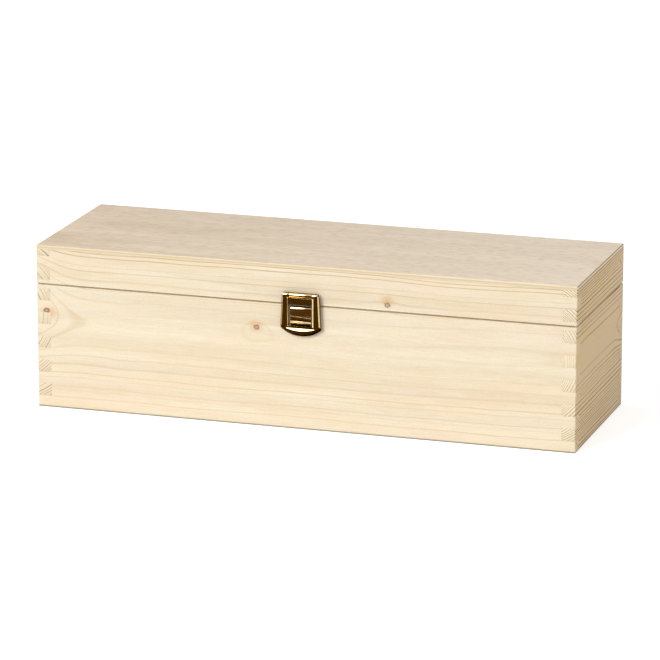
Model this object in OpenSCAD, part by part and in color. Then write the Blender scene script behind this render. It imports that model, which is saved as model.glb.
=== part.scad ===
// Wooden box for one wine bottle: finger-jointed spruce boards, a lid sawn off the closed box,
// plywood top and bottom, a stamped snap hasp on the front and two nailed hinges on the rear.
// The origin is the middle of the flat underside, the front looks along -Y and +X runs to the right.

/* [Box] */
// Length along the front
box_len = 350; // [280:1:420]
// Depth from the front face to the rear face
box_depth = 115; // [100:1:160]
// Height with the lid closed
box_h = 105; // [95:1:160]
// Height of the lid with its plywood panel
lid_h = 25; // [22:0.5:40]
// Thickness of the boards
board_t = 9; // [8:0.5:12]
// Gap left between the rims of lid and base
rim_gap = 0.5; // [0.3:0.1:1]
// Bevel that eases the outer edges
ease = 0.5; // [0.2:0.1:1]

/* [Finger joints] */
// Width of one finger of the corner joints
finger_w = 7.7; // [5:0.1:12]
// Height of wood lost when the lid was sawn off the closed box
saw_kerf = 2.5; // [1.5:0.1:4]

/* [Plywood] */
// Thickness of the panel glued on top of the lid frame
panel_t = 2.6; // [2:0.1:4]
// Thickness of the bottom panel
bottom_t = 3; // [2:0.1:5]
// Width of the rebate that the bottom panel lies in
rebate_w = 4.5; // [3:0.1:6]
// Clearance round the bottom panel in its rebate
panel_fit = 0.2; // [0.1:0.05:0.4]

/* [Nails] */
// Radius of a nail shank
nail_r = 0.6; // [0.4:0.05:0.9]
// Length of a nail below its head
nail_len = 7; // [4:0.5:7.5]
// Radius of a nail head
nail_head_r = 1.15; // [0.9:0.05:1.5]
// Height of the domed nail head
nail_head_h = 0.45; // [0.3:0.05:0.6]
// Radial clearance of a nail in its holes
nail_fit = 0.05; // [0.02:0.01:0.1]

/* [Hinges] */
// Distance from each end of the box to the middle of its hinge
hinge_inset = 62; // [40:1:100]
// Width of a hinge along its pin
hinge_w = 28; // [20:1:40]
// Height of each hinge leaf from the pin to its free edge
hinge_leaf_h = 10.5; // [8:0.5:14]
// Thickness of the hinge leaves
hinge_t = 0.8; // [0.6:0.1:1.2]
// Number of knuckles along a hinge
hinge_knuckles = 5; // [3:2:5]
// Outer radius of the hinge knuckles
hinge_knuckle_r = 1.7; // [1.6:0.1:2.2]
// Radius of the hinge pins
hinge_pin_r = 0.8; // [0.6:0.05:1]
// Radius of the rounded leaf corners
hinge_corner_r = 1.6; // [1:0.1:3]
// Distance between the two nails of a leaf
hinge_nail_pitch = 17; // [10:1:20]

/* [Knuckles and pins] */
// Radial clearance of a pin in its knuckles
pin_fit = 0.05; // [0.02:0.01:0.08]
// Clearance between neighbouring knuckles along a pin
knuckle_fit = 0.3; // [0.2:0.05:0.5]
// Clearance between the knuckles and the wood behind them
wall_fit = 0.3; // [0.2:0.05:0.5]

/* [Latch flap] */
// Height of the flap's pin above the rim of the lid
flap_pin_rise = 6.2; // [5:0.1:9]
// Length of the flap from its pin to its lowest edge
flap_len = 25.8; // [25:0.1:28]
// Width of the flap level with its pin
flap_top_w = 24.6; // [23.5:0.1:28]
// Width of the flap at its lowest edge
flap_low_w = 27; // [25:0.1:30]
// Radius of the flap's rounded lower corners
flap_corner_r = 3.8; // [2:0.1:4.4]
// Radius of the curved lower edge
flap_arc_r = 28; // [24:1:40]
// Thickness of the stamped brass-plated sheet
sheet_t = 0.7; // [0.5:0.05:0.8]
// Radius of the rolled knuckles
roll_r = 1.7; // [1.5:0.05:1.8]
// How far the rolled knuckles stand out of the raised face
roll_proud = 0.15; // [0.1:0.05:0.3]
// Radius of the latch pin
latch_pin_r = 0.75; // [0.6:0.05:0.8]
// How far the slanted flanks step in from the rim to the raised face
flank_w = 1.15; // [1:0.05:2]
// Distance from the plane of the pin back to the flap's rim, which stands clear of the wood
rim_back = 0.1; // [0.05:0.05:0.3]
// Height of the raised band round the window
band_h = 0.6; // [0.3:0.1:0.7]
// Width of the raised band at its foot
band_w = 17; // [16:0.1:18]
// Distance from the pin's axis down to the upper edge of the band
band_gap = 1.3; // [1.2:0.1:1.6]
// Height of the band's bar below the window
bar_h = 1.3; // [1:0.1:1.8]
// How far the finger lip stands out of the raised face
lip_out = 0.9; // [0.7:0.1:1.2]
// Height of the slope from the raised face out to the lip's ridge
lip_rise = 1.3; // [1.1:0.1:2]
// Height from the lowest edge up to the lip's ridge
lip_low = 3.8; // [3.4:0.1:4.4]
// Radius of the lip's ridge, seen from the front
ridge_r = 16; // [15:0.5:20]

/* [Latch leaf and catch] */
// Width of the nailed leaf and its middle knuckle
leaf_w = 14.6; // [13:0.1:16]
// Distance from the rim of the lid up to the leaf's lower edge
leaf_lift = 0.3; // [0.2:0.1:0.5]
// Distance between the two nails of the leaf
leaf_nail_pitch = 8.4; // [7:0.2:10]
// Width of the window in the flap
window_w = 14.6; // [14.4:0.1:15]
// Width of the catch
catch_w = 13.8; // [12:0.1:13.8]
// Thickness of the catch plate
catch_t = 0.8; // [0.6:0.05:1]
// Distance from the rim of the base down to the top of the catch's nose
catch_drop = 0.9; // [0.7:0.1:1.5]
// How far the catch's plate reaches above the nose
catch_rise = 0.5; // [0.2:0.1:0.5]
// Height of the catch's nose
nose_h = 10.4; // [9:0.1:10.6]
// Distance from the wood to the flat face of the nose
nose_out = 2.5; // [2:0.1:2.8]
// Depth of the slanted ledge at the top of the nose
ledge_in = 0.5; // [0.3:0.1:0.8]
// Height of the slanted ledge
ledge_low = 0.9; // [0.6:0.1:1.2]
// Height over which the lip at the foot of the nose flares out
nose_flare = 0.8; // [0.6:0.1:1.2]
// How far the lip stands out of the nose's flat face
nose_lip = 0.8; // [0.6:0.1:1]
// Clearance between the underside of the nose and the flap's crossbar
nose_fit = 0.4; // [0.3:0.05:0.6]
// Distance between the two nails of the catch
catch_nail_pitch = 7; // [6:0.5:9]

/* [Hidden] */

// Colours of the woods and the plated sheet
spruce_front = "#f3e3c4";
spruce_end = "#e2c79a";
plywood = "#dccab2";
plated = "#b08a3c";

// Heights of the two halves
lid_z = box_h - lid_h;
base_h = lid_z - rim_gap;
frame_h = lid_h - panel_t;
panel_z = box_h - panel_t;

// The fingers are numbered upwards from the underside of the closed, unsawn box
lid_shift = lid_z - (base_h + saw_kerf);
finger_count = ceil((box_h + saw_kerf) / finger_w);

// Faces of the box
front_y = -box_depth / 2;
rear_y = box_depth / 2;

// How far a cutting shape runs past the faces it cuts
over = 1;

// Hinge pin axis: behind the rear face, halfway up the gap between the rims
hinge_out = wall_fit + hinge_knuckle_r;
// How far a plate stops short of the pin beside the other leaf's knuckles
notch_h = hinge_knuckle_r + wall_fit;
hinge_y = rear_y + hinge_out;
hinge_z = base_h + rim_gap / 2;
hinge_x = box_len / 2 - hinge_inset;
hinge_nail_z = (notch_h + hinge_leaf_h) / 2;
knuckle_pitch = hinge_w / hinge_knuckles;

// Latch pin axis and the flap's depths, measured out of the front face
latch_z = lid_z + flap_pin_rise;
latch_out = wall_fit + roll_r;
face_out = latch_out + roll_r - roll_proud;
band_out = face_out + band_h;
ridge_out = face_out + lip_out;
rim_out = latch_out - rim_back;
wing_x = leaf_w / 2 + knuckle_fit;
roll_end = flap_top_w / 2 - flank_w;

// Where the flap's straight edge ends and its slanted flanks begin
edge_out = rim_out + sheet_t / 2;

// Heights measured up from the latch pin
flap_top = wall_fit;
leaf_low = leaf_lift - flap_pin_rise;
leaf_nail_up = leaf_low + nail_head_r + knuckle_fit;
catch_top = base_h - catch_drop - latch_z;
window_top = catch_top + 2 * catch_drop;
nose_under = catch_top - nose_h;
bar_top = nose_under - nose_fit;
ridge_up = lip_low - flap_len;
lip_top = ridge_up + lip_rise;
catch_nail_up = nose_under - nail_head_r - 2 * catch_t;
catch_low = catch_nail_up - nail_head_r - catch_t;

// A block with its outer edges bevelled by the amount ease, standing on z = 0
module eased_block(w, d, h) {
    intersection() {
        linear_extrude(h) eased_rect(w, d);
        translate([0, d / 2, h / 2]) rotate([90, 0, 0]) linear_extrude(d) eased_rect(w, h);
        translate([-w / 2, 0, h / 2]) rotate([90, 0, 90]) linear_extrude(w) eased_rect(d, h);
    }
}

module eased_rect(a, b) {
    x = a / 2;
    y = b / 2;
    polygon([
        [ease - x, -y], [x - ease, -y], [x, ease - y], [x, y - ease],
        [x - ease, y], [ease - x, y], [-x, y - ease], [-x, ease - y]
    ]);
}

// Slots at both ends of a long board, where the end boards' fingers pass through it
module long_board_slots(shift) {
    for (i = [1 : 2 : finger_count], side = [0, 1])
        mirror([side, 0, 0])
            translate([box_len / 2 - board_t, front_y - over, shift + i * finger_w])
                cube([board_t + over, box_depth + 2 * over, finger_w]);
}

// Slots at both ends of an end board, where the long boards' fingers pass through it
module end_board_slots(shift) {
    for (i = [0 : 2 : finger_count], side = [0, 1])
        mirror([0, side, 0])
            translate([-box_len / 2 - over, rear_y - board_t, shift + i * finger_w])
                cube([box_len + 2 * over, board_t + over, finger_w]);
}

// A whole long board, front or rear, before its ends are slotted
module long_board(side, z, h) {
    translate([-box_len / 2, side < 0 ? front_y : rear_y - board_t, z])
        cube([box_len, board_t, h]);
}

// A whole end board, left or right, before its ends are slotted
module end_board(side, z, h) {
    translate([side < 0 ? -box_len / 2 : box_len / 2 - board_t, front_y, z])
        cube([board_t, box_depth, h]);
}

// Rebate round the underside of the base that takes the bottom panel
module bottom_rebate() {
    w = box_len - 2 * (board_t - rebate_w);
    d = box_depth - 2 * (board_t - rebate_w);
    translate([-w / 2, -d / 2, -over]) cube([w, d, bottom_t + over]);
}

// Boards of the base
module base_long(side) {
    intersection() {
        eased_block(box_len, box_depth, base_h);
        difference() {
            long_board(side, 0, base_h);
            long_board_slots(0);
            bottom_rebate();
        }
    }
}

module base_end(side) {
    color(spruce_end) intersection() {
        eased_block(box_len, box_depth, base_h);
        difference() {
            end_board(side, 0, base_h);
            end_board_slots(0);
            bottom_rebate();
        }
    }
}

module base_front() {
    color(spruce_front) difference() {
        base_long(-1);
        at_catch_nails() nail_hole();
    }
}

module base_rear() {
    color(spruce_front) difference() {
        base_long(1);
        at_hinge_nails(-1) nail_hole();
    }
}

module base_left_end() { base_end(-1); }
module base_right_end() { base_end(1); }

module base_bottom() {
    w = box_len - 2 * (board_t - rebate_w + panel_fit);
    d = box_depth - 2 * (board_t - rebate_w + panel_fit);
    color(plywood) translate([-w / 2, -d / 2, 0]) cube([w, d, bottom_t]);
}

// Boards of the lid, which carry on the finger pattern above the saw cut
module lid_envelope() {
    translate([0, 0, lid_z]) eased_block(box_len, box_depth, lid_h);
}

module lid_long(side) {
    intersection() {
        lid_envelope();
        difference() {
            long_board(side, lid_z, frame_h);
            long_board_slots(lid_shift);
        }
    }
}

module lid_end(side) {
    color(spruce_end) intersection() {
        lid_envelope();
        difference() {
            end_board(side, lid_z, frame_h);
            end_board_slots(lid_shift);
        }
    }
}

module lid_front() {
    color(spruce_front) difference() {
        lid_long(-1);
        at_leaf_nails() nail_hole();
    }
}

module lid_rear() {
    color(spruce_front) difference() {
        lid_long(1);
        at_hinge_nails(1) nail_hole();
    }
}

module lid_left_end() { lid_end(-1); }
module lid_right_end() { lid_end(1); }

module lid_panel() {
    color(plywood) intersection() {
        lid_envelope();
        translate([-box_len / 2, front_y, panel_z]) cube([box_len, box_depth, panel_t]);
    }
}

// A nail along +Z: its head sits on z = 0 and its shank points down
module nail() {
    dome_r = (nail_head_r ^ 2 + nail_head_h ^ 2) / (2 * nail_head_h);
    tip = 2 * nail_r;
    color(plated) union() {
        intersection() {
            translate([0, 0, nail_head_h - dome_r]) sphere(dome_r, $fn = 48);
            cylinder(h = nail_head_h, r = nail_head_r, $fn = 48);
        }
        rotate_extrude($fn = 32)
            polygon([[0, 0.1], [nail_r, 0.1], [nail_r, tip - nail_len], [0, -nail_len]]);
    }
}

module nail_hole() {
    translate([0, 0, -nail_len - nail_fit])
        cylinder(h = nail_len + over, r = nail_r + nail_fit, $fn = 32);
}

// Where nails go in. Each child is drawn with +Z pointing out of the wood.
module at_front(x, z, out) {
    translate([x, front_y - out, z]) rotate([90, 0, 0]) children();
}

module at_rear(x, z, out) {
    translate([x, rear_y + out, z]) rotate([-90, 0, 0]) children();
}

module at_leaf_nails() {
    for (s = [-1, 1])
        at_front(s * leaf_nail_pitch / 2, latch_z + leaf_nail_up, sheet_t) children();
}

module at_catch_nails() {
    for (s = [-1, 1])
        at_front(s * catch_nail_pitch / 2, latch_z + catch_nail_up, catch_t) children();
}

// side is 1 for the leaves on the lid and -1 for those on the base
module at_hinge_nails(side) {
    for (hx = [-hinge_x, hinge_x], s = [-1, 1])
        at_rear(hx + s * hinge_nail_pitch / 2, hinge_z + side * hinge_nail_z, hinge_t) children();
}

module catch_nails() { at_catch_nails() nail(); }
module latch_leaf_nails() { at_leaf_nails() nail(); }
module hinge_base_nails() { at_hinge_nails(-1) nail(); }
module hinge_lid_nails() { at_hinge_nails(1) nail(); }

// A cylinder along X from x0 to x1, centred on the origin
module along_x(x0, x1, r) {
    translate([x0, 0, 0]) rotate([0, 90, 0]) cylinder(h = x1 - x0, r = r, $fn = 64);
}

// Outline of a leaf from the pin up to its free edge, with two rounded corners
module leaf_outline(w, h, r) {
    translate([-w / 2, 0]) square([w, h - r]);
    translate([r - w / 2, h - r - over]) square([w - 2 * r, r + over]);
    for (s = [-1, 1])
        translate([s * (w / 2 - r), h - r]) circle(r, $fn = 48);
}

// Ends of a hinge's knuckle k. The outermost ends stay flush with the leaf.
function knuckle_from(k) = k * knuckle_pitch - hinge_w / 2 + (k == 0 ? 0 : knuckle_fit / 2);
function knuckle_to(k) =
    (k + 1) * knuckle_pitch - hinge_w / 2 - (k == hinge_knuckles - 1 ? 0 : knuckle_fit / 2);

// Room beside the plate for the other leaf's knuckle k, open past the ends of the hinge
module knuckle_notch(k) {
    from = k == 0 ? -hinge_w / 2 - over : k * knuckle_pitch - hinge_w / 2;
    to = k == hinge_knuckles - 1 ? hinge_w / 2 + over : (k + 1) * knuckle_pitch - hinge_w / 2;
    translate([from, -hinge_out - over, -over])
        cube([to - from, hinge_t + 2 * over, notch_h + over]);
}

// One hinge leaf, with its pin axis on the origin and its plate pointing up
module hinge_leaf(first) {
    color(plated) difference() {
        union() {
            difference() {
                translate([0, hinge_t - hinge_out, 0]) rotate([90, 0, 0])
                    linear_extrude(hinge_t) leaf_outline(hinge_w, hinge_leaf_h, hinge_corner_r);
                for (k = [1 - first : 2 : hinge_knuckles - 1])
                    knuckle_notch(k);
            }
            for (k = [first : 2 : hinge_knuckles - 1])
                along_x(knuckle_from(k), knuckle_to(k), hinge_knuckle_r);
        }
        along_x(-hinge_w / 2 - over, hinge_w / 2 + over, hinge_pin_r + pin_fit);
        for (s = [-1, 1])
            translate([s * hinge_nail_pitch / 2, hinge_t - hinge_out, hinge_nail_z])
                rotate([-90, 0, 0]) nail_hole();
    }
}

module at_hinge(side) {
    translate([side * hinge_x, hinge_y, hinge_z]) children();
}

module hinge_left_base_leaf() { at_hinge(-1) mirror([0, 0, 1]) hinge_leaf(0); }
module hinge_right_base_leaf() { at_hinge(1) mirror([0, 0, 1]) hinge_leaf(0); }
module hinge_left_lid_leaf() { at_hinge(-1) hinge_leaf(1); }
module hinge_right_lid_leaf() { at_hinge(1) hinge_leaf(1); }

module hinge_pin() {
    color(plated) along_x(-hinge_w / 2, hinge_w / 2, hinge_pin_r);
}

module hinge_left_pin() { at_hinge(-1) hinge_pin(); }
module hinge_right_pin() { at_hinge(1) hinge_pin(); }

// The latch is drawn with X along the pin, Y out of the front face and Z up from the pin,
// and is turned so that its Y points out of the box
module at_latch() {
    translate([0, front_y, latch_z]) mirror([0, 1, 0]) children();
}

// A profile in depth and height, drawn as [out, up], that runs w wide across the latch
module across(w) {
    translate([-w / 2, 0, 0]) rotate([90, 0, 90]) linear_extrude(w) children();
}

// A front outline, drawn as [x, up], that runs from depth y0 to depth y1
module through(y0, y1) {
    translate([0, y1, 0]) rotate([90, 0, 0]) linear_extrude(y1 - y0) children();
}

// Half the flap's width at a height above or below its pin
function flap_half(up) = flap_top_w / 2 - (flap_low_w - flap_top_w) / 2 * up / flap_len;

// Front outline of the flap, stepped in by inset: cut off straight level with the knuckles
module shield(inset) {
    peak = flap_top + 2 * flap_corner_r;
    intersection() {
        offset(r = flap_corner_r, $fn = 32) offset(delta = -flap_corner_r - inset)
            intersection() {
                polygon([
                    [-flap_half(peak), peak], [flap_half(peak), peak],
                    [flap_low_w / 2, -flap_len], [-flap_low_w / 2, -flap_len]
                ]);
                translate([0, flap_arc_r - flap_len]) circle(flap_arc_r, $fn = 180);
            }
        translate([-flap_low_w, -flap_len]) square([2 * flap_low_w, flap_len + flap_top]);
    }
}

// Raised form of the flap: slanted flanks between the rim and the flat face
module flap_dome(inset, out) {
    hull() {
        through(rim_out - inset, edge_out) shield(inset);
        through(out - sheet_t / 2, out) shield(inset + flank_w);
    }
}

// Finger lip: the sheet swells outwards below a straight crease, up to the given shift
module flap_swell(inset, shift) {
    slope = lip_out / lip_rise;
    reach = flap_len + lip_top;
    intersection() {
        across(flap_low_w) polygon([
            [rim_out - inset, lip_top], [face_out - shift, lip_top],
            [face_out - shift + slope * reach, -flap_len], [rim_out - inset, -flap_len]
        ]);
        hull() {
            through(rim_out - inset, edge_out) shield(inset);
            through(rim_out, ridge_out) shield(inset + flank_w);
        }
    }
}

// Cone that slopes from the lip's curved ridge back to the rim and rounds the lower corners
module flap_cone(shift) {
    edge = rim_out + sheet_t / 4;
    slope = (ridge_out - edge) / lip_low;
    foot = ridge_r + lip_low + flap_corner_r;
    translate([0, 0, ridge_up + ridge_r]) rotate([-90, 0, 0])
        rotate_extrude($fn = 180)
            polygon([
                [0, -flap_len], [foot, -flap_len],
                [foot, edge - shift - slope * flap_corner_r],
                [0, edge - shift + slope * (ridge_r + lip_low)]
            ]);
}

// The pressed sheet as a full body, its skin moved inwards by shift
module flap_body(inset, shift) {
    intersection() {
        union() {
            flap_dome(inset, face_out - shift);
            flap_swell(inset, shift);
        }
        flap_cone(shift);
    }
}

// Raised band round the window, with slanted sides
module flap_band() {
    low = bar_top - bar_h;
    foot = band_w / 2;
    hull() {
        translate([-foot, face_out - sheet_t, low]) cube([band_w, sheet_t, -band_gap - low]);
        translate([band_h - foot, face_out, low + band_h])
            cube([band_w - 2 * band_h, band_h, -band_gap - low - band_h]);
    }
}

// Window that shows the catch. Its edges slant outwards through the height of the band.
module flap_window() {
    hull() {
        through(-over, face_out) window_outline(0);
        through(band_out, band_out + over) window_outline(band_h);
    }
}

module window_outline(grow) {
    translate([-window_w / 2 - grow, bar_top - grow])
        square([window_w + 2 * grow, window_top - bar_top + 2 * grow]);
}

module latch_flap() {
    color(plated) at_latch() difference() {
        union() {
            difference() {
                flap_body(0, 0);
                flap_body(sheet_t, sheet_t);
            }
            flap_band();
            for (side = [0, 1])
                mirror([side, 0, 0])
                    translate([0, latch_out, 0]) along_x(wing_x, roll_end, roll_r);
        }
        // Room for the leaf's middle knuckle, which shows above the band
        translate([0, latch_out, 0]) along_x(-wing_x, wing_x, roll_r + knuckle_fit);
        translate([-wing_x, -over, -band_gap])
            cube([2 * wing_x, band_out + 2 * over, band_gap + roll_r + over]);
        flap_window();
        translate([0, latch_out, 0])
            along_x(-flap_top_w, flap_top_w, latch_pin_r + pin_fit);
    }
}

// Leaf: a plate on the lid behind the flap, with the middle knuckle rolled from its upper edge
module latch_leaf() {
    color(plated) at_latch() difference() {
        union() {
            through(0, sheet_t)
                translate([-leaf_w / 2, leaf_low]) square([leaf_w, -leaf_low]);
            translate([0, latch_out, 0]) along_x(-leaf_w / 2, leaf_w / 2, roll_r);
        }
        translate([0, latch_out, 0]) along_x(-leaf_w, leaf_w, latch_pin_r + pin_fit);
        for (s = [-1, 1])
            translate([s * leaf_nail_pitch / 2, sheet_t, leaf_nail_up])
                rotate([-90, 0, 0]) nail_hole();
    }
}

module latch_pin() {
    color(plated) at_latch() translate([0, latch_out, 0])
        along_x(-roll_end, roll_end, latch_pin_r);
}

// Catch: a nailed plate with a nose folded out of it. The lip at the nose's foot hooks over the
// bar below the flap's window.
module latch_catch() {
    color(plated) at_latch() difference() {
        union() {
            through(0, catch_t)
                translate([-catch_w / 2, catch_low])
                    square([catch_w, catch_top + catch_rise - catch_low]);
            across(catch_w) nose_profile();
        }
        for (s = [-1, 1])
            translate([s * catch_nail_pitch / 2, catch_t, catch_nail_up])
                rotate([-90, 0, 0]) nail_hole();
    }
}

// Side view of the folded nose, drawn as [out, up]: a ledge, a flat face and a flared lip
module nose_profile() {
    tip = nose_out + nose_lip;
    difference() {
        polygon([
            [0, catch_top], [nose_out - ledge_in, catch_top], [nose_out, catch_top - ledge_low],
            [nose_out, nose_under + catch_t + nose_flare], [tip, nose_under + catch_t],
            [tip, nose_under], [0, nose_under]
        ]);
        translate([0, nose_under + catch_t]) square([nose_out - catch_t, nose_h - 2 * catch_t]);
    }
}

base_front();
base_rear();
base_left_end();
base_right_end();
base_bottom();
latch_catch();
catch_nails();
hinge_left_base_leaf();
hinge_right_base_leaf();
hinge_left_pin();
hinge_right_pin();
hinge_base_nails();
lid_front();
lid_rear();
lid_left_end();
lid_right_end();
lid_panel();
hinge_left_lid_leaf();
hinge_right_lid_leaf();
hinge_lid_nails();
latch_leaf();
latch_leaf_nails();
latch_pin();
latch_flap();
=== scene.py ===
import math

import bpy
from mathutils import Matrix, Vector


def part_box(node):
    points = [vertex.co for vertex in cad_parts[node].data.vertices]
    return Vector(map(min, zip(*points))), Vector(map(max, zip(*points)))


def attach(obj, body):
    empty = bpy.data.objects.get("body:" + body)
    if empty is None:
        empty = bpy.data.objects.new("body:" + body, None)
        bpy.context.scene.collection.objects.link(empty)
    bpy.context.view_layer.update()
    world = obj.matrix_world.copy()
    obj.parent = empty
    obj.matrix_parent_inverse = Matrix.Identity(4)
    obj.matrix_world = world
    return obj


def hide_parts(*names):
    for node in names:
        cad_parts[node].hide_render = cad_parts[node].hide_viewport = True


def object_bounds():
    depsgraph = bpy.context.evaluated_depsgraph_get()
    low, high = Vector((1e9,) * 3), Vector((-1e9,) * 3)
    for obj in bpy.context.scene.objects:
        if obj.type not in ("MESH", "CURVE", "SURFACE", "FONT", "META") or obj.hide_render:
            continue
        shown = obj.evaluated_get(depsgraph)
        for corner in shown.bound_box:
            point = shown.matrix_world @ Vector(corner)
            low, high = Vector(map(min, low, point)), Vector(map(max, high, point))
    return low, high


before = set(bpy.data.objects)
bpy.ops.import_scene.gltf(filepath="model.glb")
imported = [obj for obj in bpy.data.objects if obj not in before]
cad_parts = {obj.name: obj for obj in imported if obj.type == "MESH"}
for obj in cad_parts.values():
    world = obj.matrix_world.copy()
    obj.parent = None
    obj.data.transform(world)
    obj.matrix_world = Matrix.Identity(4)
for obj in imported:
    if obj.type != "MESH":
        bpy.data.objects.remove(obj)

cad_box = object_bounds()
MM = 0.001

# Long boards of spruce.
# Sawn and planed from small trunks, sanded and left raw, so the yearly rings show as pale bands
# with darker late wood. Their slotted ends show ring arcs as end grain on the ends of the box.

SAWN = (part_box("base_front")[1].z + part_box("lid_front")[0].z) / 2 / MM   # height of the saw cut
EDGE = 0.35            # millimetres that sandpaper takes off the outer edges
SANDED = (0.4, 0.06)   # strength and depth in millimetres of the relief that sanding leaves
SHEEN = 0.3            # raw wood mirrors less than a varnished one


def srgb(code):
    """A hex colour as the eye sees it, turned into the linear colour that a shader works with."""
    parts = [int(code[i:i + 2], 16) / 255 for i in (1, 3, 5)]
    linear = [c / 12.92 if c <= 0.04045 else ((c + 0.055) / 1.055) ** 2.4 for c in parts]
    return (*linear, 1.0)


def add(tree, kind, links, **settings):
    """Adds a node. A socket in links is joined to the input of that number or name, a value is set."""
    node = tree.nodes.new("ShaderNode" + kind)
    for key, value in settings.items():
        setattr(node, key, value)
    for key, value in links.items():
        if isinstance(value, bpy.types.NodeSocket):
            tree.links.new(value, node.inputs[key])
        else:
            node.inputs[key].default_value = value
    return node


def new_material(name, turn=0.0):
    """A new material, its nodes, the place on the piece, and that place in millimetres, turned about
    the upright axis where the pattern lies along Y."""
    material = bpy.data.materials.new(name)
    material.use_nodes = True
    tree = material.node_tree
    place = add(tree, "TexCoord", {})
    measured = add(tree, "Mapping", {"Vector": place.outputs["Object"], "Rotation": (0, 0, turn),
                                     "Scale": (1000, 1000, 1000)}).outputs[0]
    return material, tree, place, measured


def tinted(tree, colour, pattern, low, high, most, tone):
    """Lays up to most of a tone over a colour, from where the pattern is low to where it is high."""
    share = add(tree, "MapRange", {0: pattern, 1: low, 2: high, 3: 0.0, 4: most}).outputs[0]
    return add(tree, "Mix", {0: share, 6: colour, 7: srgb(tone)}, data_type="RGBA").outputs[2]


def surface(tree, colour, roughness, relief, strength, depth):
    """Joins colour, roughness and a relief of depth millimetres to the shader."""
    shader = tree.nodes["Principled BSDF"]
    tree.links.new(colour, shader.inputs["Base Color"])
    tree.links.new(roughness, shader.inputs["Roughness"])
    bump = add(tree, "Bump", {"Height": relief, "Strength": strength, "Distance": depth * MM})
    tree.links.new(bump.outputs[0], shader.inputs["Normal"])
    return shader


def trunk(tree, board, seed, stray, calm):
    """No trunk is straight: its rings wander by a few millimetres along the board, but not to the left
    of calm. Gives the place in long waves and the place in the trunk as it grew."""
    wave = (120, 60, 45)           # millimetres of one wave along, across and up
    reach = (0, 4 * stray, 5 * stray)
    settling = 25                  # millimetres over which the wandering dies out
    slow = add(tree, "Mapping", {"Vector": board, "Location": (seed, seed * 1.7, seed * 0.6),
                                 "Scale": [1 / size for size in wave]}).outputs[0]
    wander = add(tree, "TexNoise", {"Vector": slow, "Scale": 1, "Detail": 3.0, "Roughness": 0.4})
    wander = add(tree, "VectorMath", {0: wander.outputs["Color"], 1: (0.5, 0.5, 0.5)},
                 operation="SUBTRACT").outputs[0]
    wander = add(tree, "VectorMath", {0: wander, 1: reach}, operation="MULTIPLY").outputs[0]
    length = add(tree, "SeparateXYZ", {0: board}).outputs[0]
    steady = add(tree, "MapRange", {0: length, 1: calm, 2: calm + settling}).outputs[0]
    wander = add(tree, "VectorMath", {0: wander, 1: steady}, operation="MULTIPLY").outputs[0]
    grown = add(tree, "VectorMath", {0: board, 1: wander}, operation="ADD").outputs[0]
    return slow, grown


def branches(tree, board, radius, steep, knots):
    """Grain parts round a branch and closes again in a pointed tip beside it. Gives the rings' radius
    and steepness with that bend, and where the board is knot and where it is the knot's halo."""
    core = 0.0
    halo = 0.0
    ragged = add(tree, "TexNoise", {"Vector": board, "Scale": 0.7, "Detail": 2.0}).outputs[0]
    for x, z, size, reach, height, bend, lean in knots:
        away = add(tree, "VectorMath", {0: board, 1: (x, 0, z)}, operation="SUBTRACT").outputs[0]
        near = add(tree, "VectorMath", {0: away, 1: (1 / reach, 0, 1 / height)},
                   operation="MULTIPLY").outputs[0]
        near = add(tree, "VectorMath", {0: near, 1: near}, operation="DOT_PRODUCT").outputs["Value"]
        near = add(tree, "Math", {0: near, 1: -1.0}, operation="MULTIPLY").outputs[0]
        near = add(tree, "Math", {0: near}, operation="EXPONENT").outputs[0]
        radius = add(tree, "Math", {0: near, 1: -bend, 2: radius}, operation="MULTIPLY_ADD").outputs[0]
        bent = add(tree, "Math", {0: near, 1: 0.3}, operation="POWER").outputs[0]
        steep = add(tree, "Math", {0: bent, 1: bend / 6, 2: steep}, operation="MULTIPLY_ADD").outputs[0]

        # Knot wood, paler in its heart, with a ragged rim
        flat = add(tree, "VectorMath", {0: away, 1: (0.85, 0, 1.1)}, operation="MULTIPLY").outputs[0]
        flat = add(tree, "VectorMath", {0: flat}, operation="LENGTH").outputs["Value"]
        flat = add(tree, "Math", {0: ragged, 1: 1.8, 2: flat}, operation="MULTIPLY_ADD").outputs[0]
        wood = add(tree, "MapRange", {0: flat, 1: size + 1.3, 2: size + 0.4, 3: 0.0, 4: 1.0},
                   interpolation_type="SMOOTHSTEP").outputs[0]
        heart = add(tree, "MapRange", {0: flat, 1: 0.4 * size + 0.7, 2: 0.8 * size + 0.8, 3: 0.45,
                                       4: 1.0}).outputs[0]
        wood = add(tree, "Math", {0: wood, 1: heart}, operation="MULTIPLY").outputs[0]
        core = add(tree, "Math", {0: core, 1: wood}, operation="MAXIMUM").outputs[0]

        # The resin round it tints a patch about three times as wide, which may lean to one side
        wide = add(tree, "VectorMath", {0: away, 1: (lean[0], 0, lean[1])},
                   operation="SUBTRACT").outputs[0]
        wide = add(tree, "VectorMath", {0: wide, 1: (0.8, 0, 1.0)}, operation="MULTIPLY").outputs[0]
        wide = add(tree, "VectorMath", {0: wide}, operation="LENGTH").outputs["Value"]
        wide = add(tree, "Math", {0: ragged, 1: 2.5, 2: wide}, operation="MULTIPLY_ADD").outputs[0]
        glow = add(tree, "MapRange", {0: wide, 1: 3.2 * size + 1.2, 2: 1.2, 3: 0.0, 4: 1.0},
                   interpolation_type="SMOOTHSTEP").outputs[0]
        halo = add(tree, "Math", {0: halo, 1: glow}, operation="MAXIMUM").outputs[0]
    return radius, steep, core, halo


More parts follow.
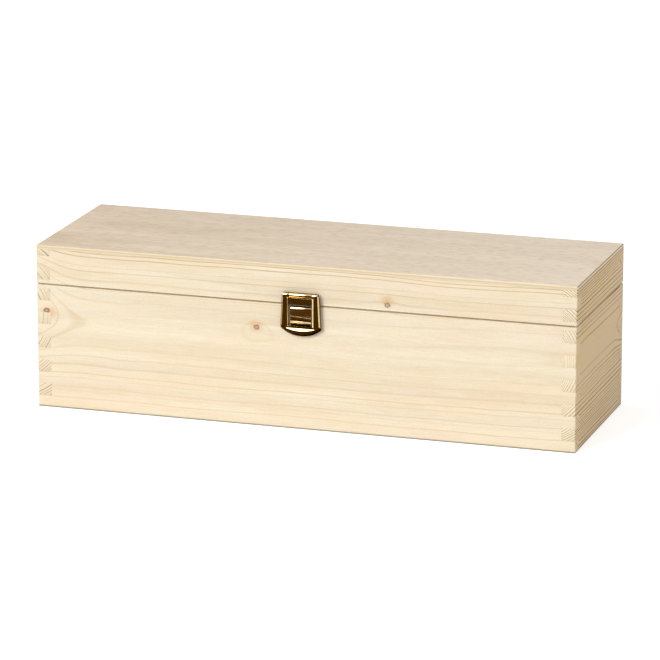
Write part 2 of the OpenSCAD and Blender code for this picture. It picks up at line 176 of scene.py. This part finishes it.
def late_wood(tree, radius, rise, steep, slow, ring, seed, clear, phase, bold):
    """Good and bad summers: the ring width changes, and each ring ends in a dark line of its own
    strength. Near the height of the heart the board lies flat to the rings, which would spread their
    lines, so there they take up less of the year and are fainter."""
    drift = 2.2                    # years by which good and bad summers shift the count
    darkest, over = 0.92, 0.94     # parts of a year at which late wood is darkest, and begins to end
    reach = 3.0                    # millimetres from the boldest ring at which its strength is gone
    least_rise = 0.3               # how far above the heart it shows, as a share of the radius

    # The years, counted from the heart outwards, some wide and some narrow
    years = add(tree, "Math", {0: radius, 1: 1 / ring, 2: phase}, operation="MULTIPLY_ADD").outputs[0]
    jitter = add(tree, "Math", {0: radius, 1: 0.13, 2: seed}, operation="MULTIPLY_ADD").outputs[0]
    jitter = add(tree, "TexNoise", {"W": jitter, "Scale": 1, "Detail": 1.0}, noise_dimensions="1D")
    years = add(tree, "Math", {0: jitter.outputs[0], 1: drift, 2: years},
                operation="MULTIPLY_ADD").outputs[0]

    # In each year the wood darkens slowly and stops at once
    season = add(tree, "Math", {0: years}, operation="FRACT").outputs[0]
    start = add(tree, "MapRange", {0: steep, 1: 0.12, 2: 0.9, 3: 0.82, 4: 0.55}).outputs[0]
    ripe = add(tree, "MapRange", {0: season, 1: start, 2: darkest, 3: 0.0, 4: 1.0},
               interpolation_type="SMOOTHSTEP").outputs[0]
    ripe = add(tree, "Math", {0: ripe, 1: 3.0 / max(clear, 1.0)}, operation="POWER").outputs[0]
    stop = add(tree, "MapRange", {0: season, 1: over, 2: 1.0, 3: 1.0, 4: 0.0},
               interpolation_type="SMOOTHSTEP").outputs[0]
    line = add(tree, "Math", {0: ripe, 1: stop}, operation="MULTIPLY").outputs[0]

    # Each year's strength, with the boldest one at its own radius
    number = add(tree, "Math", {0: years}, operation="FLOOR").outputs[0]
    summer = add(tree, "TexWhiteNoise", {"W": number}, noise_dimensions="1D").outputs["Value"]
    summer = add(tree, "MapRange", {0: summer, 3: 0.35 * clear, 4: clear}).outputs[0]
    best = add(tree, "Math", {0: radius, 1: bold}, operation="SUBTRACT").outputs[0]
    best = add(tree, "Math", {0: best}, operation="ABSOLUTE").outputs[0]
    best = add(tree, "MapRange", {0: best, 1: reach, 2: reach / 2, 3: 0.0, 4: 0.9}).outputs[0]
    above = add(tree, "Math", {0: rise, 1: least_rise}, operation="GREATER_THAN").outputs[0]
    best = add(tree, "Math", {0: best, 1: above}, operation="MULTIPLY").outputs[0]
    summer = add(tree, "Math", {0: summer, 1: best}, operation="ADD").outputs[0]
    faint = add(tree, "MapRange", {0: steep, 1: 0.1, 2: 0.8, 3: 0.4, 4: 1.15}).outputs[0]
    summer = add(tree, "Math", {0: summer, 1: faint}, operation="MULTIPLY").outputs[0]
    line = add(tree, "Math", {0: line, 1: summer}, operation="MULTIPLY").outputs[0]
    patchy = add(tree, "TexNoise", {"Vector": slow, "Scale": 2.6, "Detail": 3.0}).outputs[0]
    patchy = add(tree, "MapRange", {0: patchy, 1: 0.3, 2: 0.7, 3: 0.65, 4: 1.1}).outputs[0]
    return add(tree, "Math", {0: line, 1: patchy}, operation="MULTIPLY").outputs[0]


def end_grain(tree, colour, place, along, line, pores, cut):
    """Where fibres are cut across, ring lines are thin and dark on a speckled ground."""
    fibres_run = (1, 0, 0) if along == "X" else (0, 1, 0)
    facing = add(tree, "VectorMath", {0: place.outputs["Normal"], 1: fibres_run},
                 operation="DOT_PRODUCT").outputs["Value"]
    facing = add(tree, "Math", {0: facing}, operation="ABSOLUTE").outputs[0]
    end = add(tree, "MapRange", {0: facing, 1: 0.75, 2: 0.9}).outputs[0]
    speck = add(tree, "Mix", {0: pores, 6: srgb(cut), 7: srgb("#eed9b3")}, data_type="RGBA").outputs[2]
    sharp = add(tree, "MapRange", {0: line, 1: 0.08, 2: 0.3},
                interpolation_type="SMOOTHSTEP").outputs[0]
    sharp = add(tree, "Math", {0: sharp, 1: pores, 2: 0.25}, operation="MULTIPLY_ADD").outputs[0]
    sharp = add(tree, "Math", {0: sharp, 1: 0.25}, operation="SUBTRACT", use_clamp=True).outputs[0]
    speck = add(tree, "Mix", {0: sharp, 6: speck, 7: srgb("#6d4f2c")}, data_type="RGBA").outputs[2]
    return add(tree, "Mix", {0: end, 6: colour, 7: speck}, data_type="RGBA").outputs[2]


def painted_edge_shade(tree, colour, place, height):
    """Painted shade darkens the edges on which the box stands and where it is sawn apart."""
    reach = 0.6   # millimetres from the saw cut, and twice as many from the underside
    apart = add(tree, "Math", {0: height, 1: SAWN}, operation="SUBTRACT").outputs[0]
    apart = add(tree, "Math", {0: apart}, operation="ABSOLUTE").outputs[0]
    edge_shade = add(tree, "Math", {0: height, 1: 0.5}, operation="MULTIPLY").outputs[0]
    edge_shade = add(tree, "Math", {0: edge_shade, 1: apart}, operation="MINIMUM").outputs[0]
    # Painted shade: a contact shadow along the underside and the shade in the saw cut
    edge_shade = add(tree, "MapRange", {0: edge_shade, 1: reach, 2: reach / 2, 3: 0.0, 4: 0.8}).outputs[0]
    level = add(tree, "SeparateXYZ", {0: place.outputs["Normal"]}).outputs[2]
    level = add(tree, "Math", {0: level}, operation="ABSOLUTE").outputs[0]
    upright = add(tree, "MapRange", {0: level, 1: 0.95, 2: 0.8}).outputs[0]
    edge_shade = add(tree, "Math", {0: edge_shade, 1: upright}, operation="MULTIPLY").outputs[0]
    return add(tree, "Mix", {0: edge_shade, 6: colour, 7: srgb("#7d6e56")}, data_type="RGBA").outputs[2]


def spruce(name, along, pith, ring, seed, stray=1.0, clear=1.0, phase=0.0, bold=200.0,
           calm=-400.0, painted_lift=0.0, knots=(), early="#faedd3", late="#d3b47f", cut="#faedd3"):
    """Raw sanded spruce as it is sawn from a trunk, in millimetres. along is the fibre's direction,
    X or Y, pith is the heart of the trunk in the board's section, ring is the width of a year's
    growth, stray says how much it wanders, clear how strongly its late wood shows, phase in which
    part of a year the heart began, and bold is the radius of the strongest year above the heart. To
    the left of calm only knots bend the rings, painted_lift is the share of a paler tone painted
    along the lower edge as painted light against the shade near the floor, and cut colours the ends
    of fibres. A knot has its place along the fibre and its height, its radius, how far and how high
    grain bends round it, by how much, and where its halo leans."""
    turn = 0 if along == "X" else -math.pi / 2
    material, tree, place, board = new_material(name, turn)
    slow, grown = trunk(tree, board, seed, stray, calm)
    height = add(tree, "SeparateXYZ", {0: board}).outputs[2]

    # The rings, by their distance from the heart, and how steeply the board cuts them
    section = add(tree, "VectorMath", {0: grown, 1: (0, 1, 1)}, operation="MULTIPLY").outputs[0]
    section = add(tree, "VectorMath", {0: section, 1: (0, *pith)}, operation="SUBTRACT").outputs[0]
    radius = add(tree, "VectorMath", {0: section}, operation="LENGTH").outputs["Value"]
    rise = add(tree, "Math", {0: add(tree, "SeparateXYZ", {0: section}).outputs[2], 1: radius},
               operation="DIVIDE").outputs[0]
    steep = add(tree, "Math", {0: rise}, operation="ABSOLUTE").outputs[0]
    radius, steep, core, halo = branches(tree, board, radius, steep, knots)
    line = late_wood(tree, radius, rise, steep, slow, ring, seed, clear, phase, bold)

    # Bundles of fibres, streaks and pores, by their length along, across and up in millimetres
    bundle = (14, 0.5, 0.5)
    band = (70, 9, 7)
    thin = add(tree, "Mapping", {"Vector": grown, "Scale": [1 / size for size in bundle]}).outputs[0]
    fibre = add(tree, "TexNoise", {"Vector": thin, "Scale": 1, "Detail": 3.0,
                                   "Roughness": 0.6}).outputs[0]
    broad = add(tree, "Mapping", {"Vector": grown, "Scale": [1 / size for size in band]}).outputs[0]
    streak = add(tree, "TexNoise", {"Vector": broad, "Scale": 1, "Detail": 2.0}).outputs[0]
    blush = add(tree, "TexNoise", {"Vector": slow, "Scale": 1.6, "Detail": 2.0}).outputs["Color"]
    blush = add(tree, "SeparateXYZ", {0: blush}).outputs[1]
    nap = add(tree, "TexNoise", {"Vector": board, "Scale": 0.9, "Detail": 3.0,
                                 "Roughness": 0.7}).outputs[0]
    pores = add(tree, "TexNoise", {"Vector": board, "Scale": 2.2, "Detail": 2.0}).outputs[0]

    # Painted light that makes the lower edge paler, the rings over it, rosy patches, honey streaks,
    # single fibres and the sanded nap
    colour = tinted(tree, srgb(early), height, 50.0, 0.0, painted_lift, "#ffe9c2")
    colour = add(tree, "Mix", {0: line, 6: colour, 7: srgb(late)}, data_type="RGBA").outputs[2]
    colour = tinted(tree, colour, blush, 0.45, 0.68, 0.24, "#f6d8bf")
    colour = tinted(tree, colour, streak, 0.4, 0.7, 0.3, "#f1d7a8")
    colour = tinted(tree, colour, fibre, 0.42, 0.8, 0.22, "#c9a673")
    colour = tinted(tree, colour, nap, 0.45, 0.75, 0.2, "#dcc196")
    colour = end_grain(tree, colour, place, along, line, pores, cut)
    if knots:
        halo = add(tree, "Math", {0: halo, 1: 0.65}, operation="MULTIPLY").outputs[0]
        colour = add(tree, "Mix", {0: halo, 6: colour, 7: srgb("#e6b67c")}, data_type="RGBA").outputs[2]
        dark = add(tree, "MapRange", {0: pores, 1: 0.35, 2: 0.6, 3: 0.4, 4: 1.0}).outputs[0]
        core = add(tree, "Math", {0: core, 1: dark}, operation="MULTIPLY").outputs[0]
        colour = add(tree, "Mix", {0: core, 6: colour, 7: srgb("#7a4f2b")}, data_type="RGBA").outputs[2]
    # Painted shade along the underside and the saw cut
    colour = painted_edge_shade(tree, colour, place, height)

    matt = add(tree, "MapRange", {0: fibre, 3: 0.55, 4: 0.7}).outputs[0]
    relief = add(tree, "Math", {0: fibre, 1: 0.5, 2: line}, operation="MULTIPLY_ADD").outputs[0]
    shader = surface(tree, colour, matt, relief, *SANDED)
    shader.inputs["Specular IOR Level"].default_value = SHEEN
    return material


def finished(node, body, material, name, bevel, segments=2, shell=None):
    """The solid of a CAD node as it leaves the workshop: one skin, with its edges broken. Of a piece in
    a shell of boards, the shell's outer edges are rounded in full and joints only by a third."""
    weld = 0.002 * MM                    # corners nearer than this are one
    on_shell = 0.02 * MM                 # a corner nearer than this lies on the shell's side
    one_face = math.radians(0.5)         # faces that turn less are one
    sharp = math.radians(30)             # edges that turn more are broken
    looks_round = math.radians(32)       # and edges that turn less are shaded round
    bpy.ops.object.select_all(action="DESELECT")
    piece = bpy.data.objects.new(name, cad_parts[node].data.copy())
    bpy.context.scene.collection.objects.link(piece)
    piece.data.materials.clear()
    piece.data.materials.append(material)
    piece.select_set(True)
    bpy.context.view_layer.objects.active = piece
    bpy.ops.object.mode_set(mode="EDIT")
    bpy.ops.mesh.select_all(action="SELECT")
    bpy.ops.mesh.remove_doubles(threshold=weld)
    bpy.ops.mesh.dissolve_limited(angle_limit=one_face)
    bpy.ops.mesh.select_mode(type="EDGE")
    bpy.ops.mesh.select_all(action="DESELECT")
    bpy.ops.mesh.edges_select_sharp(sharpness=sharp)
    bpy.ops.transform.edge_bevelweight(value=0.3 if shell else 1.0)
    bpy.ops.object.mode_set(mode="OBJECT")
    weights = piece.data.attributes["bevel_weight_edge"].data
    if shell:
        on = [[abs(v.co[i] - side[i]) < on_shell for side in shell for i in range(3)]
              for v in piece.data.vertices]
        for edge in piece.data.edges:
            first, second = edge.vertices
            shared = sum(a and b for a, b in zip(on[first], on[second]))
            if weights[edge.index].value > 0 and shared > 1:
                weights[edge.index].value = 1.0
    broken = piece.modifiers.new("Edge", "BEVEL")
    broken.width = bevel * MM
    broken.segments = segments
    broken.limit_method = "WEIGHT"
    broken.use_clamp_overlap = True
    bpy.ops.object.modifier_apply(modifier="Edge")
    bpy.ops.object.shade_smooth_by_angle(angle=looks_round)
    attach(piece, body)
    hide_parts(node)
    return piece


# The front board of base and lid is one board, so both halves share its wood and its knots. The
# last of them grew beyond the sawn left end, and only the grain that bends round it is seen.
front_wood = spruce("spruce_front_board", "X", pith=(-22, 57), ring=3.2, seed=4.1, clear=0.55,
                    phase=-0.26, bold=56.5, calm=-145, cut="#f0d3a1",
                    knots=((-29.5, 63.3, 1.8, 10, 8, 2.2, (-0.5, 0.5)),
                           (55, 84, 1.7, 9, 6, 1.0, (0, 2.5)),
                           (-168.5, 62.7, 1.9, 9, 9, 1.5, (1.5, -1)),
                           (-182, 76, 0, 19, 36, 9.0, (0, 0))))
rear_wood = spruce("spruce_rear_board", "X", pith=(24, 66), ring=3.0, seed=11.3, cut="#f0d3a1",
                   knots=((96, 38, 1.5, 20, 16, 4.0, (0, 0)),))
front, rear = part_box("base_front"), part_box("base_rear")
base_shell = (Vector((front[0].x, front[0].y, 0)), Vector((front[1].x, rear[1].y, front[1].z)))
for side, wood in (("front", front_wood), ("rear", rear_wood)):
    finished(f"base_{side}", "box", wood, f"base_{side}_board", EDGE,
             shell=base_shell)

# End boards of the base.
# The same spruce with its fibres running from front to rear. Fingers of their end grain pass
# through the long boards and show as patches at both ends of the front.
left_wood = spruce("spruce_left_end", "Y", pith=(200, 60), ring=2.0, seed=21.0, stray=0.5,
                   early="#f6e6c8", late="#c79f68")
# The right end's face grain is tinted warmer and darker than its pale end grain, as painted shade for
# the side turned away from the light
right_wood = spruce("spruce_right_end", "Y", pith=(-142, 57), ring=1.5, seed=37.0, stray=0.5,
                    clear=2.1, painted_lift=0.45, early="#f4d5a2", late="#85592b",
                    knots=((60, 50, 1.0, 13, 11, 2.6, (-3, 0)),))
for side, wood in (("left", left_wood), ("right", right_wood)):
    finished(f"base_{side}_end", "box", wood, f"base_{side}_end_board", EDGE,
             shell=base_shell)

# Frame of the lid.
# Four low boards, sawn off the closed and glued box, so they are the same wood as the boards below
# them and their grain carries on across the cut.
front, rear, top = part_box("lid_front"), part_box("lid_rear"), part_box("lid_panel")
lid_shell = (front[0], Vector((front[1].x, rear[1].y, top[1].z)))
for side, slot, wood in (("front", "spruce_long_board", front_wood),
                         ("rear", "spruce_long_board", rear_wood),
                         ("left_end", "spruce_end_board", left_wood),
                         ("right_end", "spruce_end_board", right_wood)):
    finished(f"lid_{side}", "lid", wood, f"lid_{side}_board", EDGE, shell=lid_shell)

# Plywood panels on top of the lid and in the rebate under the base.
# Three sheets of peeled poplar glued crosswise: greyish and quiet on the face, and on the edge a
# pale stripe where fibres run along it and a dark one where they are cut across.

PANEL_EDGE = 0.2   # millimetres that sandpaper takes off a panel's edges


def glued_edges(tree, colour, place, sheet, dark, node):
    """The edges: a core sheet between two face sheets, counted from the node's height."""
    low, high = (corner.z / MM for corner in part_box(node))
    height = add(tree, "SeparateXYZ", {0: sheet}).outputs[2]
    layer = add(tree, "MapRange", {0: height, 1: low, 2: high}).outputs[0]
    from_middle = add(tree, "Math", {0: layer, 1: 0.5}, operation="SUBTRACT").outputs[0]
    from_middle = add(tree, "Math", {0: from_middle}, operation="ABSOLUTE").outputs[0]
    core = add(tree, "MapRange", {0: from_middle, 1: 0.27, 2: 0.23}).outputs[0]
    glue = add(tree, "MapRange", {0: layer, 1: 0.12, 2: 0.03}).outputs[0]
    normal = add(tree, "SeparateXYZ", {0: place.outputs["Normal"]})
    on_end = add(tree, "Math", {0: normal.outputs[0]}, operation="ABSOLUTE").outputs[0]
    on_end = add(tree, "MapRange", {0: on_end, 1: 0.5, 2: 0.65}).outputs[0]
    on_front = add(tree, "Math", {0: normal.outputs[1]}, operation="ABSOLUTE").outputs[0]
    on_front = add(tree, "MapRange", {0: on_front, 1: 0.75, 2: 0.9}).outputs[0]

    # Fibres that run along an edge are pale, and cut ends are darker and speckled
    cut = add(tree, "TexNoise", {"Vector": sheet, "Scale": 1.6, "Detail": 2.0}).outputs[0]
    cut = add(tree, "MapRange", {0: cut, 1: 0.3, 2: 0.7, 3: 0.55, 4: 1.0}).outputs[0]
    along = add(tree, "Mix", {0: dark, 6: srgb("#fbefd6"), 7: srgb("#ecd3a8")},
                data_type="RGBA").outputs[2]
    across = add(tree, "Mix", {0: cut, 6: srgb("#f8e9cb"), 7: srgb("#e6cb9a")},
                 data_type="RGBA").outputs[2]
    front = add(tree, "Mix", {0: core, 6: along, 7: across}, data_type="RGBA").outputs[2]
    ends = add(tree, "Mix", {0: cut, 6: srgb("#dcbd8b"), 7: srgb("#b48d59")},
               data_type="RGBA").outputs[2]
    ending = add(tree, "Mix", {0: core, 6: ends, 7: along}, data_type="RGBA").outputs[2]
    colour = add(tree, "Mix", {0: on_front, 6: colour, 7: front}, data_type="RGBA").outputs[2]
    colour = add(tree, "Mix", {0: on_end, 6: colour, 7: ending}, data_type="RGBA").outputs[2]

    # Glue under the panel, dark on its ends and hardly seen on its front
    side = add(tree, "Math", {0: on_front, 1: on_end}, operation="MAXIMUM").outputs[0]
    seen = add(tree, "Math", {0: on_end, 1: 0.85, 2: 0.08}, operation="MULTIPLY_ADD").outputs[0]
    glue = add(tree, "Math", {0: glue, 1: side}, operation="MULTIPLY").outputs[0]
    glue = add(tree, "Math", {0: glue, 1: seen}, operation="MULTIPLY").outputs[0]
    return add(tree, "Mix", {0: glue, 6: colour, 7: srgb("#8a6636")}, data_type="RGBA").outputs[2]


def plywood(name, node, face="#ecdac3", shade="#dac6ab"):
    """Three-ply poplar board, its face peeled with the fibres along X and sanded: cloudy patches, thin
    fibres and short dark flecks, and a painted sheen that makes it paler towards the right end."""
    material, tree, place, sheet = new_material(name)
    patch = (120, 22, 1)           # millimetres along, across and through of each pattern
    bundle = (14, 0.8, 0.8)
    dash = (7, 1.1, 1)
    slow = add(tree, "Mapping", {"Vector": sheet, "Scale": [1 / size for size in patch]}).outputs[0]
    cloud = add(tree, "TexNoise", {"Vector": slow, "Scale": 1, "Detail": 3.0,
                                   "Distortion": 0.6}).outputs[0]
    thin = add(tree, "Mapping", {"Vector": sheet, "Scale": [1 / size for size in bundle]}).outputs[0]
    fibre = add(tree, "TexNoise", {"Vector": thin, "Scale": 1, "Detail": 3.0,
                                   "Roughness": 0.65}).outputs[0]
    fleck = add(tree, "Mapping", {"Vector": sheet, "Scale": [1 / size for size in dash]}).outputs[0]
    fleck = add(tree, "TexNoise", {"Vector": fleck, "Scale": 1, "Detail": 1.0}).outputs[0]

    tone = add(tree, "MapRange", {0: cloud, 1: 0.3, 2: 0.7, 3: -0.3, 4: 1.0}).outputs[0]
    colour = add(tree, "Mix", {0: tone, 6: srgb(face), 7: srgb(shade)}, data_type="RGBA").outputs[2]
    dark = add(tree, "MapRange", {0: fibre, 1: 0.4, 2: 0.75, 3: 0.0, 4: 0.42}).outputs[0]
    colour = add(tree, "Mix", {0: dark, 6: colour, 7: srgb("#b89c7c")}, data_type="RGBA").outputs[2]
    # Painted sheen: the face grows paler towards the right end
    length = add(tree, "SeparateXYZ", {0: sheet}).outputs[0]
    colour = tinted(tree, colour, length, -150.0, 170.0, 0.45, "#fbf0dc")
    colour = tinted(tree, colour, fleck, 0.5, 0.75, 0.35, "#a98a68")
    colour = glued_edges(tree, colour, place, sheet, dark, node)

    matt = add(tree, "MapRange", {0: fibre, 3: 0.6, 4: 0.75}).outputs[0]
    shader = surface(tree, colour, matt, fibre, *SANDED)
    shader.inputs["Specular IOR Level"].default_value = SHEEN
    return material


finished("lid_panel", "lid", plywood("poplar_plywood_top", "lid_panel"),
         "lid_plywood_panel", PANEL_EDGE)
finished("base_bottom", "box", plywood("poplar_plywood_bottom", "base_bottom"),
         "bottom_plywood_panel", PANEL_EDGE)

# Snap hasp on the front: leaf, flap and catch.
# Pressed from thin steel sheet and brass plated, so the faces are mirror bright, the pressed
# edges are rounded, and fine rubbing marks and a little tarnish sit in the plating.

CATCH_EDGE = 0.25      # millimetres by which pressing rounds the edges of each piece
LEAF_EDGE = 0.18
FLAP_EDGE = 0.3
PRESSED = 3            # steps of a rounded pressed edge
CATCH_SHADE_REACH = 1.3      # millimetres out from the wood over which painted shade darkens each piece
FLAP_SHADE_REACH = 2.95


def plated_brass(name, shade_reach=-10.0, colour="#ebd198", tarnish="#c09d5e"):
    """Bright brass plating with fine rubbing marks: a mirror that is a little soft in places. Painted
    shade darkens it where it lies less than shade_reach millimetres out from the wood of the front.
    With shade_reach below zero the fittings of the front stay clean, and those of the rear are
    darkened all over by the same tint."""
    material, tree, place, metal = new_material(name)
    rubbing = (2.5, 1 / 3, 1 / 3)     # millimetres of a rubbing mark along, across and up
    fade = 0.2                        # millimetres over which the dirt fades out
    cloud = add(tree, "TexNoise", {"Vector": metal, "Scale": 0.35, "Detail": 3.0}).outputs[0]
    rub = add(tree, "Mapping", {"Vector": metal, "Scale": [1 / size for size in rubbing]}).outputs[0]
    rub = add(tree, "TexNoise", {"Vector": rub, "Scale": 1, "Detail": 2.0}).outputs[0]
    deep = add(tree, "SeparateXYZ", {0: metal}).outputs[1]
    deep = add(tree, "Math", {0: deep, 1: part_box("base_front")[0].y / MM},
               operation="SUBTRACT").outputs[0]
    plating = tinted(tree, srgb(colour), cloud, 0.45, 0.8, 0.55, tarnish)
    # Painted shade: the metal darkens where it lies near the wood of the front
    plating = tinted(tree, plating, deep, -shade_reach - fade, -shade_reach + fade, 0.9, "#402b17")
    soft = add(tree, "MapRange", {0: rub, 1: 0.3, 2: 0.8, 3: 0.05, 4: 0.13}).outputs[0]
    shader = surface(tree, plating, soft, cloud, 0.25, 0.05)
    shader.inputs["Metallic"].default_value = 1.0
    return material


# The catch gets less painted shade than leaf and flap, whose flanks and rims are darkened near the wood
brass = plated_brass("brass_plated_steel")
catch_brass = plated_brass("brass_of_the_catch", CATCH_SHADE_REACH)
rim_brass = plated_brass("brass_of_the_flap", FLAP_SHADE_REACH)
finished("latch_catch", "box", catch_brass, "latch_catch_plate", CATCH_EDGE, PRESSED)
finished("latch_leaf", "lid", rim_brass, "latch_leaf_plate", LEAF_EDGE, PRESSED)
finished("latch_flap", "flap", rim_brass, "latch_flap_shell", FLAP_EDGE, PRESSED)

# Two hinges nailed on the rear, each with two leaves, five rolled knuckles and a pin.
# The same plated sheet as the hasp's, cut straight with rounded free corners. Its edges are hardly
# broken, and it is dull and brown all over.

HINGE_EDGE = 0.12   # millimetres
for side in ("left", "right"):
    for body, half in (("box", "base"), ("lid", "lid")):
        node = f"hinge_{side}_{half}_leaf"
        finished(node, body, brass, node + "_plate", HINGE_EDGE)

# Pins of hinges and hasp, and the nails that hold leaves and catch.
# Drawn wire with the same plating, the nails with small domed heads. They are right as the frame
# has them and only get the plating.
for node in ("hinge_left_pin", "hinge_right_pin", "latch_pin", "catch_nails", "latch_leaf_nails",
             "hinge_base_nails", "hinge_lid_nails"):
    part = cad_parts[node]
    part.data.materials.clear()
    part.data.materials.append(brass)

# Photographer's table.
# One sheet of matt white paper that keeps the soft shadow of the box. What the camera and the metal
# see of it is lifted to white.

LIFT = 0.62   # light that the paper seems to give off


def paper(name):
    """Matt white paper, lifted to white for the eye and for mirrors, but not as light on the box."""
    material = bpy.data.materials.new(name)
    material.use_nodes = True
    tree = material.node_tree
    tree.nodes.clear()
    matt = add(tree, "BsdfDiffuse", {"Color": srgb("#d9d9d9")})
    path = add(tree, "LightPath", {})
    seen = add(tree, "Math", {0: path.outputs["Is Camera Ray"], 1: path.outputs["Is Glossy Ray"]},
               operation="MAXIMUM").outputs[0]
    seen = add(tree, "Math", {0: seen, 1: path.outputs["Is Transmission Ray"]},
               operation="MAXIMUM").outputs[0]
    power = add(tree, "Math", {0: seen, 1: LIFT}, operation="MULTIPLY").outputs[0]
    glow = add(tree, "Emission", {"Color": (1, 1, 1, 1), "Strength": power})
    both = add(tree, "AddShader", {0: matt.outputs[0], 1: glow.outputs[0]})
    add(tree, "OutputMaterial", {"Surface": both.outputs[0]})
    return material


bpy.ops.mesh.primitive_plane_add(size=40, location=(0, 0, 0))
floor = bpy.context.object
floor.name = "floor"
floor.data.materials.append(paper("white_paper"))

# Two dark cloths on the paper, in front of the box and to its left.
# Matt brown felt, seen only in the metal, as it is laid out to give a shiny fitting its contrast.
# The front one ends just before the box and reaches a little past the hasp on the right.
cloth = bpy.data.materials.new("dark_cloth")
cloth.use_nodes = True
felt = cloth.node_tree.nodes["Principled BSDF"]
felt.inputs["Base Color"].default_value = srgb("#4c3414")
felt.inputs["Specular IOR Level"].default_value = 0.0
felt.inputs["Roughness"].default_value = 1.0
for name, spread_at, size in (("dark_cloth", (-1.46, -3.059, 0.003), (3.1, 6.0)),
                              ("dark_cloth_left", (-0.70, 0.0, 0.004), (1.0, 1.0))):
    bpy.ops.mesh.primitive_plane_add(size=1, location=spread_at)
    card = bpy.context.object
    card.name = name
    card.scale = (*size, 1)
    card.data.materials.append(cloth)
    card.visible_camera = False
    card.visible_diffuse = False
    card.visible_shadow = False
    card.visible_transmission = False

# The room round the table.
# White all round for the eye. The metal on the front mirrors a dim room behind the camera, with a
# white ceiling over it.

AMBIENT = 0.61          # light of the room on the wood
CEILING = (0.45, 0.75)  # from how high up a look meets the ceiling
BEHIND = (-0.1, 0.2)    # from how far round to the rear it is white again
world = bpy.context.scene.world or bpy.data.worlds.new("World")
bpy.context.scene.world = world
world.use_nodes = True
sky = world.node_tree
sky.nodes.clear()
path = add(sky, "LightPath", {})
gaze = add(sky, "SeparateXYZ", {0: add(sky, "TexCoord", {}).outputs["Generated"]})
ceiling = add(sky, "MapRange", {0: gaze.outputs[2], 1: CEILING[0], 2: CEILING[1]},
              interpolation_type="SMOOTHSTEP").outputs[0]
behind = add(sky, "MapRange", {0: gaze.outputs[1], 1: BEHIND[0], 2: BEHIND[1]},
             interpolation_type="SMOOTHSTEP").outputs[0]
bright = add(sky, "Math", {0: ceiling, 1: behind}, operation="MAXIMUM").outputs[0]
room = add(sky, "Mix", {0: bright, 6: srgb("#523a18"), 7: (1, 1, 1, 1)}, data_type="RGBA").outputs[2]
shiny = path.outputs["Is Glossy Ray"]
colour = add(sky, "Mix", {0: shiny, 6: (1, 1, 1, 1), 7: room}, data_type="RGBA").outputs[2]
seen = add(sky, "Math", {0: path.outputs["Is Camera Ray"], 1: shiny}, operation="MAXIMUM").outputs[0]
power = add(sky, "MapRange", {0: seen, 3: AMBIENT, 4: 1.0}).outputs[0]
glow = add(sky, "Background", {"Color": colour, "Strength": power})
add(sky, "OutputWorld", {"Surface": glow.outputs[0]})

# One broad soft light, high on the left in front
key = bpy.data.lights.new("key_light", "SUN")
key.energy = 1.75
key.angle = math.radians(35)
lamp = bpy.data.objects.new("key_light", key)
bpy.context.scene.collection.objects.link(lamp)
lamp_stands = Vector((-0.55, -0.85, 0.62))
lamp.rotation_euler = lamp_stands.to_track_quat("Z", "Y").to_euler()

# The camera stands far off, a little round to the right of the front, and looks down at the box
TURN = math.radians(17.64)    # how far the camera stands round to the right of the front
TILT = math.radians(15.06)    # how far it looks down
DISTANCE = 2.838              # metres from the middle of the box
ASIDE = 0.00012               # how far it stands to the left of the line to the middle
BELOW = 0.0033                # and how far below it
FOCAL = 4508.7                # in pixels of the picture
PICTURE = 660                 # width of the picture in pixels
FILM = 36                     # width of the film in millimetres
middle = Vector((0, 0, cad_box[1][2] / 2))
right = Vector((math.cos(TURN), math.sin(TURN), 0))
back = Vector((math.sin(TURN) * math.cos(TILT), -math.cos(TURN) * math.cos(TILT), math.sin(TILT)))
up = back.cross(right)
camera = bpy.data.objects.new("camera", bpy.data.cameras.new("camera"))
bpy.context.scene.collection.objects.link(camera)
camera.location = middle + back * DISTANCE - right * ASIDE - up * BELOW
camera.rotation_euler = back.to_track_quat("Z", "Y").to_euler()
camera.data.sensor_width = FILM
camera.data.lens = FILM * FOCAL / PICTURE
camera.data.clip_start = 0.05
camera.data.clip_end = 100
bpy.context.scene.camera = camera
bpy.context.scene.view_settings.view_transform = "Standard"
